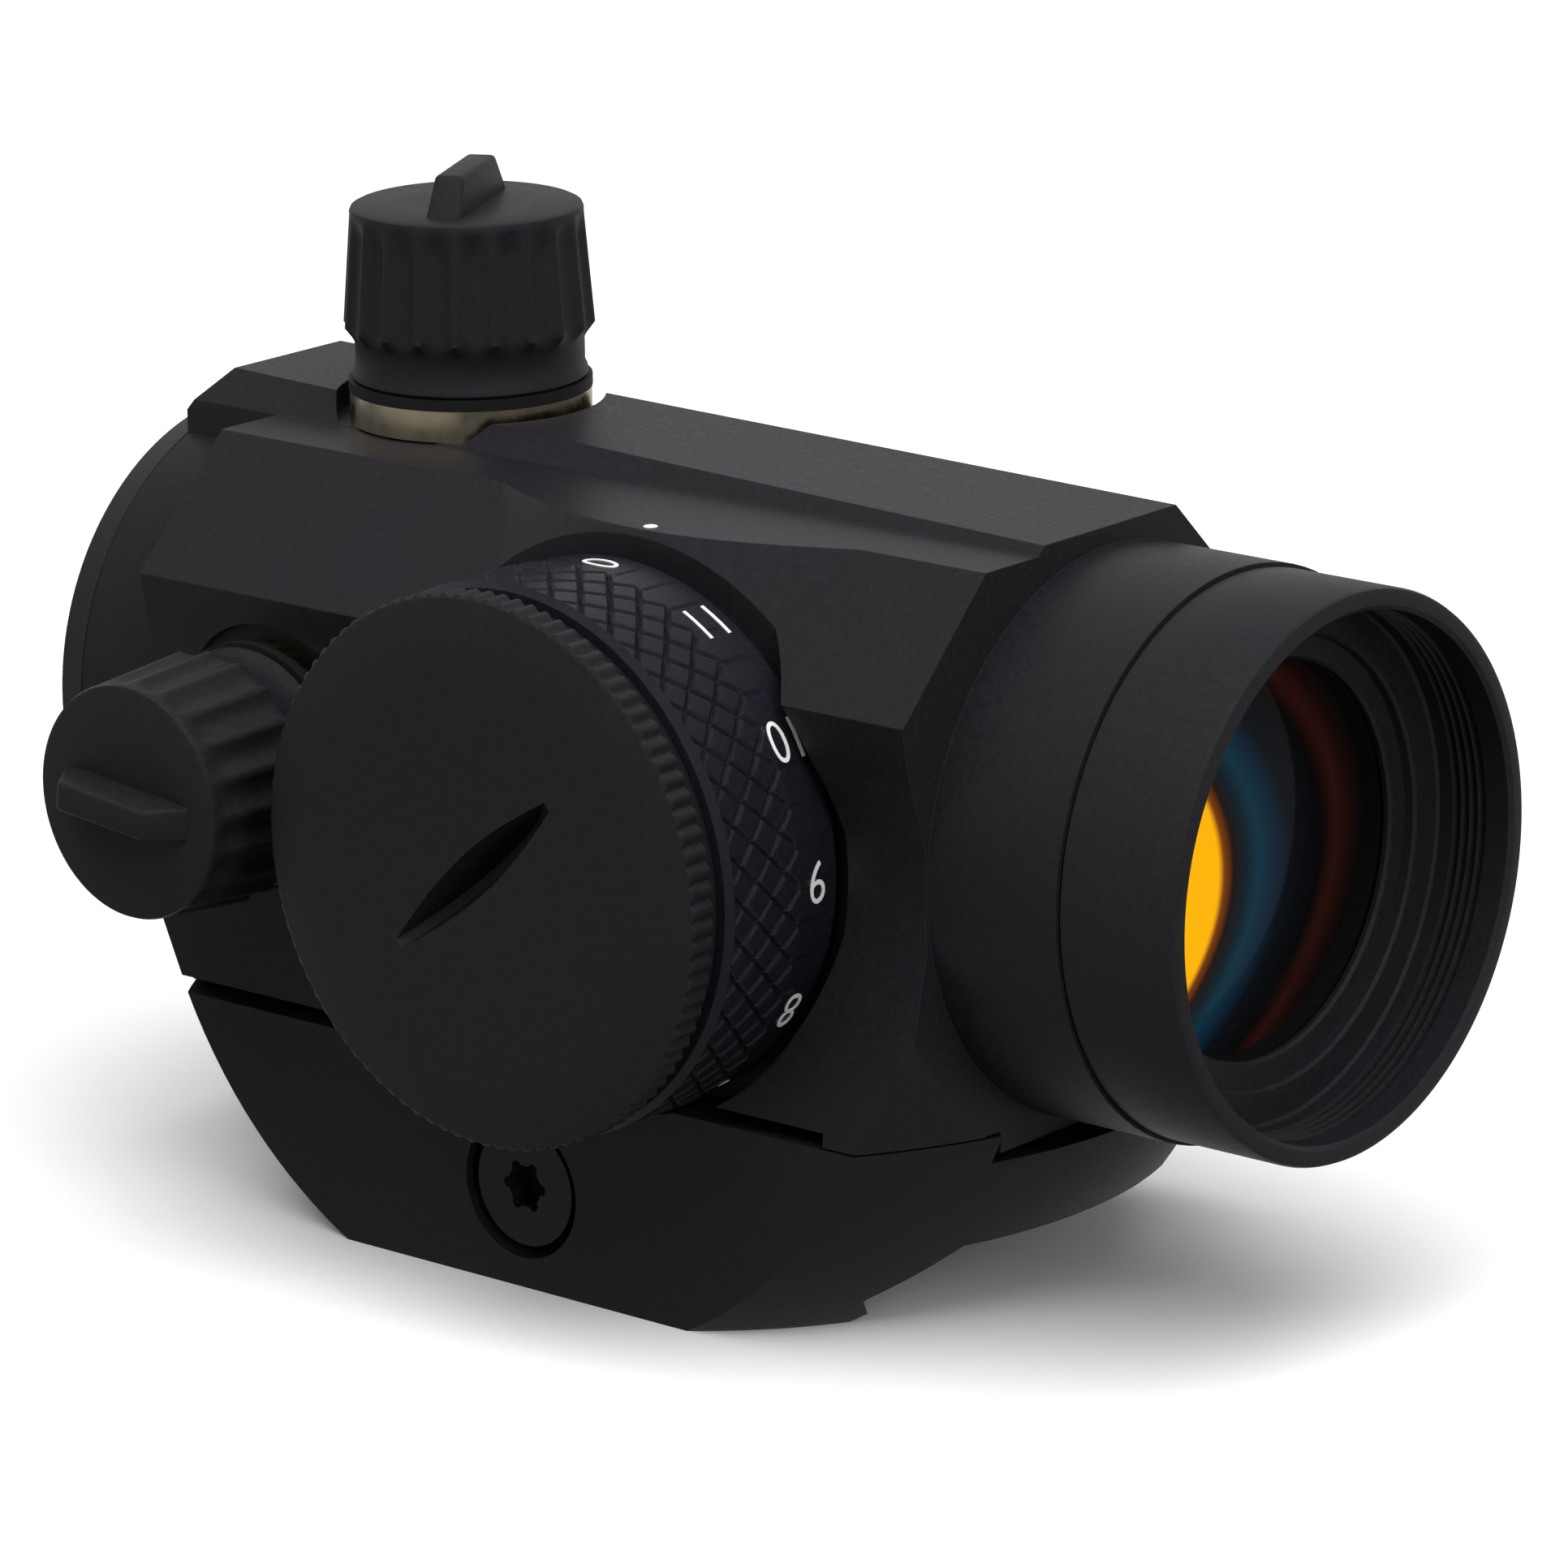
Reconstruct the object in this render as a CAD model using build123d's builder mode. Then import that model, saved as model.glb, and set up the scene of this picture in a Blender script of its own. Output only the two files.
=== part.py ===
"""Compact tube red dot sight with a low rail clamp, as an assembly of separate pieces.

Frame, in millimetres: +X points from the eye to the target, +Z is up and -Y is the shooter's right.
The origin is on the rail-top plane, under the optical axis, at the station of the brightness dial.
"""
from build123d import *
from math import asin, degrees
import os

os.makedirs("parts", exist_ok=True)

# ---------------------------------------------------------------- driving dimensions
mount_height = 6.7          # joint with the housing above the rail-top plane
fit_gap = 0.05              # radial clearance of turning and sliding fits
free_gap = 0.30             # space between pieces that pass each other freely

# optical tube
tube_r = 14.2               # outside of the front tube
bore_r = 12.3               # bore through the housing
block_front_x = 19.2        # front face of the housing block
block_length = 50.0
eye_tube_length = 6.4       # round rear tube, from the block to the eyepiece ring
tube_length = 7.7           # front tube, from the block to the objective ring
ring_length = 6.8           # objective ring
ring_r = 14.0
ring_thread_r = 12.9        # accessory thread inside the objective ring
ring_thread_depth = 4.4
ring_flange = 1.0           # inward flange behind the thread
lens_lip = 0.6              # reach of the lens retainer inside the cartridge
neck_wall = 0.9             # housing neck that carries the objective ring
eye_ring_r = 14.0
eye_ring_end_r = 13.6
eye_ring_length = 2.2
eye_spigot_length = 2.0
eye_wall = 1.1              # bore of the housing to the bore of the eyepiece ring

# housing block, measured from the optical axis
shelf_height = 14.7         # flat shelf beside the spine, on the right
shelf_half_width = 9.6
side_half_width = 15.9      # widest place of the right flank
side_low_height = 6.0       # lower end of the upright part of the flanks
waist_half_width = 14.3     # flanks at the height of the optical axis
foot_half_width = 16.0      # flanks at the joint with the mount
block_drop = 13.2           # optical axis to the joint with the mount
shadow_gap = 0.7            # open joint line along the flanks
shadow_gap_depth = 1.6
spine_front_height = 15.15
spine_rear_height = 16.3
spine_reach = 20.3          # height plus half width of the spine's slanted sides
spine_root = 3.0            # how far the spine reaches down into the block
spine_end_run = 2.0         # slope at the spine's rear end, over the rear tube
spine_end_drop = 2.2
boss_margin = 0.65          # round boss behind the dial, with a conical root
boss_root_spread = 5.5
boss_root_depth = 4.5
boss_face = 13.1            # optical axis to the boss face

# brightness dial and battery compartment, distances from the optical axis
dial_r = 13.75
dial_back = 14.0
dial_front = 22.2
dial_wall = 1.4
dial_chamfer = 0.4
dial_positions = 12
hub_wall = 1.0
hub_flange_setback = 0.75   # hub flange inside the dial's radius
hub_floor = 2.2
retainer_wall = 0.5
retainer_height = 0.5
cap_setback = 0.05          # battery cap inside the dial's radius
cap_thickness = 1.9
cap_chamfer = 0.35
cap_seal_height = 0.85
cap_seal_setback = 0.75
cap_plug_depth = 1.6
cap_pitch = 0.75
coin_slot_width = 1.9
coin_slot_length = 13.0
coin_slot_depth = 1.3
coin_slot_angle = 45
battery_r = 10.0            # CR2032 coin cell
battery_height = 3.2
board_thickness = 1.0
contact_r = 1.5
detent_ball_r = 0.7
detent_spring_length = 2.4

# adjusters: the same set stands on top and on the right
turret_gap = 1.65           # rim of the dial to the turret recess
turret_floor = 14.8         # optical axis to the floor of the turret recess
turret_recess_r = 6.9
bushing_root_r = 4.4
bushing_root_depth = 1.6
bushing_flange_r = 6.2
bushing_flange_height = 1.6
bushing_neck_r = 5.1
bushing_neck_height = 3.4
turret_seal_r = 6.25
turret_seal_height = 0.55
turret_cap_skirt_r = 6.05
turret_cap_waist_r = 5.9
turret_cap_flute_r = 6.45
turret_cap_top_r = 6.0
turret_cap_top = 25.9       # optical axis to the flat top of the cap
turret_cap_flute_height = 6.2
turret_cap_roof = 1.4
turret_cap_pitch = 0.5
turret_tab_height = 1.7
turret_tab_thickness = 1.4
turret_tab_length = 10.0
turret_tab_crest = 0.9
elevation_tab_angle = 26
windage_tab_angle = 84
screw_r = 3.4
screw_height = 4.4
screw_slot_width = 0.9
screw_slot_depth = 1.1
plunger_r = 1.5
plunger_length = 6.0

# optical cartridge that the adjusters tilt
pivot_x = 24.0
gimbal_length = 3.0
gimbal_wall = 0.9
cartridge_wall = 0.9
cartridge_rear_x = -29.5
lens_edge = 2.6
lens_sag = 1.1
lens_retainer_length = 1.0
emitter_x = -24.0
emitter_arm = (5.0, 3.0, 2.6)
emitter_r = 0.9
emitter_length = 1.2
ocular_thickness = 1.8
ocular_setback = 1.9
eye_retainer_length = 0.9
return_spring_thickness = 0.3
return_spring_width = 8.0

# rail mount, heights from the rail-top plane
mount_centre_x = -5.6       # crossbolt station
mount_seam = 0.1            # thin joint line between housing and mount
bowl_centre_x = -6.2        # the ends of the mount lie on a turned bowl about this station
mount_top_r = 27.3
mount_middle_r = 24.4
mount_foot_r = 19.6
bowl_flare = 2.4            # the bowl's rim runs on up the foot of the housing
bowl_flare_height = 6.0
foot_drop = 4.5             # lowest edge of the jaws under the rail top
rail_top_half = 7.9         # half of the rail's flat top, with clearance
rail_half = 10.7            # half of the rail's full width, with clearance
rail_edge = 0.2             # upright band at the rail's full width
lip_reach = 1.0             # how far the jaws reach in under the rail
jaw_shelf = 3.6             # underside of the base over the moving jaw
jaw_length = 22.0
joint_recess = 1.5          # recess of the mount under the front tube
joint_recess_half_width = 9.1
joint_recess_length = 2.6
joint_pad_depth = 1.1       # pad of the housing that stands in that recess
bolt_r = 1.5
bolt_height = 0.7
bolt_head_r = 3.1
bolt_head_height = 2.3
bolt_head_setback = 0.3
bolt_counterbore_r = 3.65
bolt_socket_r = 1.37
bolt_socket_depth = 1.5
nut_r = 2.4
nut_height = 3.0
base_screw_r = 1.25
base_screw_head_r = 2.2
base_screw_head_height = 1.7
base_screw_length = 8.3
base_screw_x = 11.5
base_screw_y = 5.4

# ---------------------------------------------------------------- derived places
axis_height = block_drop + mount_height
block_rear_x = block_front_x - block_length
boss_r = dial_r + boss_margin
boss_root_r = boss_r + boss_root_spread
turret_x = -(dial_r + turret_recess_r + turret_gap)
tube_face_x = block_front_x + tube_length
ring_front_x = tube_face_x + ring_length
flange_front_x = ring_front_x - ring_thread_depth
flange_back_x = flange_front_x - ring_flange
eye_ring_x = block_rear_x - eye_tube_length
eye_end_x = eye_ring_x - eye_ring_length
facet_reach = shelf_height + shelf_half_width
neck_r = bore_r + neck_wall
cartridge_r = bore_r - gimbal_wall - 2 * fit_gap
cartridge_bore_r = cartridge_r - cartridge_wall
aperture_r = cartridge_bore_r - lens_lip
eye_bore_r = bore_r - eye_wall
cartridge_front_x = flange_back_x - free_gap
lens_front_x = cartridge_front_x - lens_retainer_length
hub_r = dial_r - dial_wall - fit_gap
hub_bore_r = hub_r - hub_wall
hub_flange_r = dial_r - hub_flange_setback
cap_r = dial_r - cap_setback
cap_seal_r = dial_r - cap_seal_setback
cap_seat = dial_front + cap_seal_height + 2 * fit_gap
cap_top = cap_seat + cap_thickness
battery_floor = dial_front - cap_plug_depth - battery_height - 2 * fit_gap
hub_cavity_top = battery_floor - hub_floor
board_back = boss_face + fit_gap
bushing_top = turret_floor + bushing_flange_height
neck_top = bushing_top + bushing_neck_height
turret_cap_seat = bushing_top + turret_seal_height + fit_gap
plunger_tip = cartridge_r + fit_gap
screw_bottom = neck_top - screw_height - fit_gap
mount_top = axis_height - block_drop - mount_seam
bolt_head_face = foot_half_width - bolt_head_setback
jaw_inner_y = rail_top_half + free_gap
jaw_outer_y = foot_half_width

optical = Plane(origin=(0, 0, axis_height), x_dir=(0, 1, 0), z_dir=(1, 0, 0))
right_side = Plane(origin=(0, 0, axis_height), x_dir=(1, 0, 0), z_dir=(0, -1, 0))
over_tube = Plane(origin=(turret_x, 0, axis_height), x_dir=(1, 0, 0), z_dir=(0, 0, 1))
beside_tube = Plane(origin=(turret_x, 0, axis_height), x_dir=(1, 0, 0), z_dir=(0, -1, 0))
bolt_plane = Plane(origin=(mount_centre_x, 0, bolt_height), x_dir=(1, 0, 0), z_dir=(0, -1, 0))
turrets = {"elevation": over_tube, "windage": beside_tube}
tab_angles = {"elevation": elevation_tab_angle, "windage": windage_tab_angle}


def save(part, name):
    """Label a finished piece and write its STEP file."""
    part.label = name
    export_step(part, "parts/" + name + ".step")


def turned(plane, low, high, outer_r, inner_r=0.0):
    """Plain turned piece about a plane's normal, between two distances along it."""
    with BuildPart() as piece:
        with BuildSketch(plane.offset(low)):
            Circle(outer_r)
            if inner_r > 0:
                Circle(inner_r, mode=Mode.SUBTRACT)
        extrude(amount=high - low)
    return piece.part


def mount_bowl():
    """Turned bowl that the ends of the mount and of the housing's foot lie on."""
    bowl_middle = (mount_middle_r, (mount_top - foot_drop) / 2)
    bowl_head = (mount_top_r + bowl_flare, mount_top + bowl_flare_height)
    with BuildPart(mode=Mode.PRIVATE) as bowl:
        with BuildSketch(Plane.XZ):
            with BuildLine():
                ThreePointArc((mount_foot_r, -foot_drop), bowl_middle, (mount_top_r, mount_top))
                Polyline(
                    (mount_top_r, mount_top),
                    bowl_head,
                    (0, mount_top + bowl_flare_height),
                    (0, -foot_drop),
                    (mount_foot_r, -foot_drop),
                )
            make_face()
        revolve(axis=Axis.Z)
    return bowl.part.moved(Location((bowl_centre_x, 0, 0)))


# ---------------------------------------------------------------- housing
# Machined block with its front tube: a spine on top, slanted shoulders, waisted flanks, a round dial boss.
def make_housing():
    right = [
        (-shelf_half_width, shelf_height),
        (-side_half_width, facet_reach - side_half_width),
        (-side_half_width + 0.4, side_low_height),
        (-waist_half_width, 2.2),
        (-waist_half_width, -3.0),
        (-foot_half_width + 0.5, -8.0),
        (-foot_half_width, -block_drop),
    ]
    left = [
        (foot_half_width, -block_drop),
        (foot_half_width - 0.5, -8.0),
        (waist_half_width, -3.0),
        (waist_half_width, spine_reach - waist_half_width),
        (spine_reach - shelf_height, shelf_height),
    ]
    spine_low = shelf_height - spine_root
    spine_rear_x = eye_ring_x
    spine_half_width = spine_reach - shelf_height
    top_half_width = spine_reach - spine_rear_height
    spine_section = [
        (-spine_half_width, spine_low),
        (-spine_half_width, shelf_height),
        (-top_half_width, spine_rear_height),
        (top_half_width, spine_rear_height),
        (spine_half_width, shelf_height),
        (spine_half_width, spine_low),
    ]
    spine_profile = [
        (spine_rear_x, axis_height + spine_low),
        (block_front_x, axis_height + spine_low),
        (block_front_x, axis_height + spine_front_height),
        (spine_rear_x + spine_end_run, axis_height + spine_rear_height),
        (spine_rear_x, axis_height + spine_rear_height - spine_end_drop),
    ]
    with BuildPart() as spine:
        with BuildSketch(optical.offset(spine_rear_x)):
            with BuildLine():
                Polyline(*spine_section, close=True)
            make_face()
        extrude(amount=block_front_x - spine_rear_x)
        with BuildSketch(Plane.XZ.offset(-side_half_width)):
            with BuildLine():
                Polyline(*spine_profile, close=True)
            make_face()
        extrude(amount=2 * side_half_width, mode=Mode.INTERSECT)
    with BuildPart() as boss:
        with BuildSketch(right_side.offset(boss_face - boss_root_depth)):
            Circle(boss_root_r)
        with BuildSketch(right_side.offset(boss_face)):
            Circle(boss_r)
        loft()
        with Locations((0, 0, axis_height + shelf_height)):
            Box(
                3 * boss_root_r,
                3 * boss_root_r,
                shelf_height + block_drop,
                align=(Align.CENTER, Align.CENTER, Align.MAX),
                mode=Mode.INTERSECT,
            )
    with BuildPart() as trim:
        add(mount_bowl())
        with Locations((0, 0, mount_top + bowl_flare_height)):
            Box(3 * block_length, 6 * tube_r, 3 * tube_r, align=(Align.CENTER, Align.CENTER, Align.MIN))
    with BuildPart() as housing:
        with BuildSketch(optical.offset(block_rear_x)):
            with BuildLine():
                Polyline(*right, *left, close=True)
            make_face()
        extrude(amount=block_length)
        add(boss.part)
        add(trim.part, mode=Mode.INTERSECT)
        add(spine.part)
        with BuildSketch(optical.offset(block_rear_x - eye_tube_length)):
            Circle(eye_ring_r)
        extrude(amount=eye_tube_length + joint_recess_length)
        # pads that fill most of the recesses in the mount
        for end_x, inward in ((block_front_x, Align.MAX), (block_rear_x, Align.MIN)):
            with Locations((end_x, 0, axis_height - block_drop)):
                Box(
                    joint_recess_length,
                    2 * (joint_recess_half_width - free_gap),
                    2 * joint_pad_depth,
                    align=(inward, Align.CENTER, Align.CENTER),
                )
        with BuildSketch(optical.offset(block_front_x - joint_recess_length)):
            Circle(tube_r)
        extrude(amount=joint_recess_length + tube_length)
        with BuildSketch(optical.offset(tube_face_x)):
            Circle(neck_r)
        extrude(amount=flange_back_x - tube_face_x)
        # the dial turns in a round recess where the block stands further out than the boss
        with BuildSketch(right_side.offset(boss_face)):
            Circle(boss_r)
        extrude(amount=side_half_width, mode=Mode.SUBTRACT)
        # bore for the optical cartridge
        with BuildSketch(optical.offset(eye_ring_x)):
            Circle(bore_r)
        extrude(amount=flange_back_x - eye_ring_x, mode=Mode.SUBTRACT)
        # turret recesses and the holes for the bushings
        for turret in turrets.values():
            with BuildSketch(turret.offset(turret_floor)):
                Circle(turret_recess_r)
            extrude(amount=turret_floor, mode=Mode.SUBTRACT)
            with BuildSketch(turret.offset(turret_floor - bushing_root_depth)):
                Circle(bushing_root_r)
            extrude(amount=turret_floor, mode=Mode.SUBTRACT)
            with BuildSketch(turret):
                Circle(plunger_r + fit_gap)
            extrude(amount=turret_floor, mode=Mode.SUBTRACT)
        # wire passage from the bore to the circuit board
        with BuildSketch(right_side):
            Circle(contact_r)
        extrude(amount=boss_face, mode=Mode.SUBTRACT)
        # open joint line along both flanks, and tapped holes for the base screws
        for side in (-1, 1):
            with Locations((block_rear_x, side * foot_half_width, axis_height - block_drop)):
                Box(
                    mount_centre_x + mount_foot_r - block_rear_x,
                    2 * shadow_gap_depth,
                    2 * shadow_gap,
                    align=(Align.MIN, Align.CENTER, Align.CENTER),
                    mode=Mode.SUBTRACT,
                )
        with Locations((mount_centre_x, 0, 0)):
            with GridLocations(2 * base_screw_x, 2 * base_screw_y, 2, 2):
                Cylinder(
                    base_screw_r,
                    base_screw_length + free_gap,
                    align=(Align.CENTER, Align.CENTER, Align.MIN),
                    mode=Mode.SUBTRACT,
                )
    return housing.part


save(make_housing(), "housing")

# ---------------------------------------------------------------- objective ring and eyepiece ring
with BuildPart() as objective_ring:
    with BuildSketch(optical.offset(tube_face_x)):
        Circle(ring_r)
    extrude(amount=ring_length)
    with BuildSketch(optical.offset(tube_face_x)):
        Circle(aperture_r)
    extrude(amount=ring_length, mode=Mode.SUBTRACT)
    with BuildSketch(optical.offset(tube_face_x)):
        Circle(neck_r)
    extrude(amount=flange_back_x - tube_face_x, mode=Mode.SUBTRACT)
    with BuildSketch(optical.offset(flange_front_x)):
        Circle(ring_thread_r)
    extrude(amount=ring_thread_depth, mode=Mode.SUBTRACT)
save(objective_ring.part, "objective_ring")

with BuildPart() as eyepiece_ring:
    with BuildSketch(optical.offset(eye_ring_x)):
        Circle(eye_ring_r)
    with BuildSketch(optical.offset(eye_end_x)):
        Circle(eye_ring_end_r)
    loft()
    with BuildSketch(optical.offset(eye_ring_x)):
        Circle(bore_r - fit_gap)
    extrude(amount=eye_spigot_length)
    with BuildSketch(optical.offset(eye_end_x)):
        Circle(eye_bore_r)
    extrude(amount=eye_ring_length + eye_spigot_length, mode=Mode.SUBTRACT)
save(eyepiece_ring.part, "eyepiece_ring")

ocular_front_x = eye_end_x + ocular_setback + ocular_thickness
ocular_back_x = eye_end_x + ocular_setback
save(turned(optical, ocular_back_x, ocular_front_x, eye_bore_r), "ocular_window")
save(
    turned(optical, ocular_back_x - eye_retainer_length, ocular_back_x, eye_bore_r, aperture_r),
    "ocular_retainer",
)

# ---------------------------------------------------------------- optical cartridge
save(
    turned(
        optical,
        pivot_x - gimbal_length / 2,
        pivot_x + gimbal_length / 2,
        bore_r - fit_gap,
        cartridge_r + fit_gap,
    ),
    "gimbal_ring",
)
save(turned(optical, cartridge_rear_x, cartridge_front_x, cartridge_r, cartridge_bore_r), "cartridge_tube")
save(
    turned(optical, lens_front_x, cartridge_front_x, cartridge_bore_r, aperture_r),
    "lens_retainer",
)

# Coated lens: a flat rim under its retainer and a weakly curved front inside it.
lens_dome_r = aperture_r - fit_gap
lens_ball_r = (lens_dome_r**2 + lens_sag**2) / (2 * lens_sag)
lens_centre = (lens_front_x + lens_sag - lens_ball_r, 0)
lens_back_x = lens_front_x - lens_edge
with BuildPart() as objective_lens:
    with BuildSketch(Plane.XZ.shift_origin((0, 0, axis_height))):
        with BuildLine():
            dome = CenterArc(lens_centre, lens_ball_r, 0, degrees(asin(lens_dome_r / lens_ball_r)))
            Polyline(
                dome @ 1,
                (lens_front_x, cartridge_bore_r),
                (lens_back_x, cartridge_bore_r),
                (lens_back_x, 0),
                dome @ 0,
            )
        make_face()
    revolve(axis=Axis((0, 0, axis_height), (1, 0, 0)))
save(objective_lens.part, "objective_lens")

arm_x, arm_y, arm_z = emitter_arm
with BuildPart() as emitter_arm_piece:
    with Locations((emitter_x, 0, axis_height - cartridge_bore_r)):
        Box(arm_x, arm_y, arm_z, align=(Align.CENTER, Align.CENTER, Align.MIN))
    add(turned(optical, cartridge_rear_x, cartridge_front_x, cartridge_bore_r), mode=Mode.INTERSECT)
save(emitter_arm_piece.part, "emitter_arm")

emitter = Plane(
    origin=(emitter_x + arm_x / 2, 0, axis_height - cartridge_bore_r + arm_z / 2 + emitter_r / 2),
    x_dir=(0, 1, 0),
    z_dir=(1, 0, 0),
)
save(turned(emitter, 0, emitter_length, emitter_r), "led_emitter")

# Leaf spring that presses the cartridge up and to the left, against both plungers.
with BuildPart() as return_spring:
    with BuildSketch(optical.offset(turret_x - return_spring_width / 2)):
        with BuildLine():
            CenterArc((0, 0), bore_r - return_spring_thickness / 2, -70, 50)
        trace(line_width=return_spring_thickness)
    extrude(amount=return_spring_width)
save(return_spring.part, "return_spring")

# ---------------------------------------------------------------- adjusters
def bushing(turret):
    """Brass bushing: a root in the housing, a flange in the recess and a threaded neck for the cap."""
    with BuildPart() as piece:
        with BuildSketch(turret.offset(turret_floor - bushing_root_depth)):
            Circle(bushing_root_r)
        extrude(amount=bushing_root_depth)
        with BuildSketch(turret.offset(turret_floor)):
            Circle(bushing_flange_r)
        extrude(amount=bushing_flange_height)
        with BuildSketch(turret.offset(bushing_top)):
            Circle(bushing_neck_r)
        extrude(amount=bushing_neck_height)
        with BuildSketch(turret.offset(screw_bottom - fit_gap)):
            Circle(screw_r + fit_gap)
        extrude(amount=screw_height + bushing_neck_height, mode=Mode.SUBTRACT)
        with BuildSketch(turret):
            Circle(plunger_r + fit_gap)
        extrude(amount=neck_top, mode=Mode.SUBTRACT)
    return piece.part


def adjuster_screw(turret):
    """Slotted drum that turns in the bushing and drives the plunger."""
    with BuildPart() as piece:
        with BuildSketch(turret.offset(screw_bottom)):
            Circle(screw_r)
        extrude(amount=screw_height)
        with BuildSketch(turret.offset(screw_bottom)):
            Circle(plunger_r + fit_gap)
        extrude(amount=screw_height - screw_slot_depth - free_gap, mode=Mode.SUBTRACT)
        with BuildSketch(turret.offset(screw_bottom + screw_height - screw_slot_depth)):
            Rectangle(3 * screw_r, screw_slot_width)
        extrude(amount=2 * screw_slot_depth, mode=Mode.SUBTRACT)
    return piece.part


def turret_cap(turret, tab_angle):
    """Screw-on cap with a blade on top that fits the adjuster's slot."""
    seat = turret_cap_seat
    flute_low = turret_cap_top - turret_cap_flute_height
    profile = [
        (bushing_neck_r + fit_gap, seat),
        (turret_cap_skirt_r, seat),
        (turret_cap_waist_r, seat + 0.5),
        (turret_cap_waist_r, flute_low - 0.7),
        (turret_cap_flute_r, flute_low),
        (turret_cap_top_r, turret_cap_top - 0.3),
        (turret_cap_top_r - 0.3, turret_cap_top),
        (0, turret_cap_top),
        (0, turret_cap_top - turret_cap_roof),
        (screw_r + free_gap, turret_cap_top - turret_cap_roof),
        (screw_r + free_gap, neck_top + free_gap),
        (bushing_neck_r + fit_gap, neck_top + free_gap),
    ]
    section = Plane(origin=turret.origin, x_dir=turret.x_dir, z_dir=turret.x_dir.cross(turret.z_dir))
    with BuildPart() as piece:
        with BuildSketch(section):
            with BuildLine():
                Polyline(*profile, close=True)
            make_face()
        revolve(axis=Axis(turret.origin, turret.z_dir))
        with BuildSketch(turret.offset(turret_cap_top)):
            Rectangle(turret_tab_thickness, turret_tab_length, rotation=tab_angle)
        with BuildSketch(turret.offset(turret_cap_top + turret_tab_height)):
            Rectangle(turret_tab_crest, turret_tab_length - 2 * turret_tab_height, rotation=tab_angle)
        loft()
    return piece.part


for name, turret in turrets.items():
    save(bushing(turret), name + "_bushing")
    save(adjuster_screw(turret), name + "_screw")
    save(turned(turret, plunger_tip, plunger_tip + plunger_length, plunger_r), name + "_plunger")
    save(
        turned(turret, bushing_top, turret_cap_seat - fit_gap, turret_seal_r, bushing_neck_r + fit_gap),
        name + "_cap_seal",
    )
    save(turret_cap(turret, tab_angles[name]), name + "_cap")

# ---------------------------------------------------------------- brightness dial and battery
detent_plane = Plane(
    origin=(0, -(battery_floor - hub_floor / 2), axis_height), x_dir=(1, 0, 0), z_dir=(0, 0, -1)
)
detent_hole_depth = 2 * detent_ball_r + detent_spring_length

with BuildPart() as dial_hub:
    with BuildSketch(right_side.offset(boss_face)):
        Circle(hub_flange_r)
    extrude(amount=dial_back - 2 * fit_gap - boss_face)
    with BuildSketch(right_side.offset(boss_face)):
        Circle(hub_r)
    extrude(amount=dial_front - boss_face)
    with BuildSketch(right_side.offset(boss_face)):
        Circle(hub_bore_r)
    extrude(amount=hub_cavity_top - boss_face, mode=Mode.SUBTRACT)
    with BuildSketch(right_side.offset(battery_floor)):
        Circle(hub_bore_r)
    extrude(amount=dial_front - battery_floor, mode=Mode.SUBTRACT)
    with BuildSketch(right_side.offset(hub_cavity_top)):
        Circle(contact_r)
    extrude(amount=hub_floor, mode=Mode.SUBTRACT)
    with BuildSketch(detent_plane.offset(hub_r - detent_hole_depth)):
        Circle(detent_ball_r)
    extrude(amount=detent_hole_depth, mode=Mode.SUBTRACT)
save(dial_hub.part, "dial_hub")

save(turned(right_side, board_back, board_back + board_thickness, hub_bore_r - fit_gap), "circuit_board")
save(turned(right_side, board_back + board_thickness, battery_floor, contact_r), "battery_contact")
save(turned(right_side, battery_floor, battery_floor + battery_height, battery_r), "coin_cell")

with BuildPart() as detent_ball:
    with Locations(detent_plane.offset(hub_r - detent_ball_r).origin):
        Sphere(detent_ball_r)
save(detent_ball.part, "detent_ball")
save(
    turned(
        detent_plane,
        hub_r - detent_hole_depth,
        hub_r - 2 * detent_ball_r - 0.1,
        detent_ball_r - fit_gap,
        detent_ball_r / 2,
    ),
    "detent_spring",
)

retainer_r = hub_r + retainer_wall
save(
    turned(right_side, dial_front - retainer_height, dial_front, retainer_r, hub_r),
    "dial_retainer",
)

with BuildPart() as brightness_dial:
    with BuildSketch(right_side.offset(dial_back)):
        Circle(dial_r)
    extrude(amount=dial_front - dial_back)
    with BuildSketch(right_side.offset(dial_back)):
        Circle(hub_r + fit_gap)
        with PolarLocations(hub_r + fit_gap, dial_positions, start_angle=90):
            Circle(detent_ball_r / 2)
    extrude(amount=dial_front - dial_back, mode=Mode.SUBTRACT)
    with BuildSketch(right_side.offset(dial_front - retainer_height - 2 * fit_gap)):
        Circle(retainer_r + fit_gap)
    extrude(amount=dial_front - dial_back, mode=Mode.SUBTRACT)
    rim = brightness_dial.edges().filter_by(GeomType.CIRCLE).group_by(Axis.Y)[0].sort_by(SortBy.RADIUS)[-1]
    chamfer(rim, dial_chamfer)
save(brightness_dial.part, "brightness_dial")

save(
    turned(
        right_side,
        dial_front + fit_gap,
        cap_seat - fit_gap,
        cap_seal_r,
        hub_bore_r + hub_wall / 4,
    ),
    "battery_cap_seal",
)

with BuildPart() as battery_cap:
    with BuildSketch(right_side.offset(cap_seat)):
        Circle(cap_r)
    extrude(amount=cap_thickness)
    outer_edges = battery_cap.edges().group_by(Axis.Y)[0]
    chamfer(outer_edges, cap_chamfer)
    with BuildSketch(right_side.offset(dial_front - cap_plug_depth)):
        Circle(hub_bore_r - fit_gap)
    extrude(amount=cap_plug_depth + cap_seat - dial_front)
    with BuildSketch(right_side.offset(cap_top - coin_slot_depth)):
        Rectangle(coin_slot_length, coin_slot_width, rotation=coin_slot_angle)
    extrude(amount=2 * coin_slot_depth, mode=Mode.SUBTRACT)
save(battery_cap.part, "battery_cap")

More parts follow.
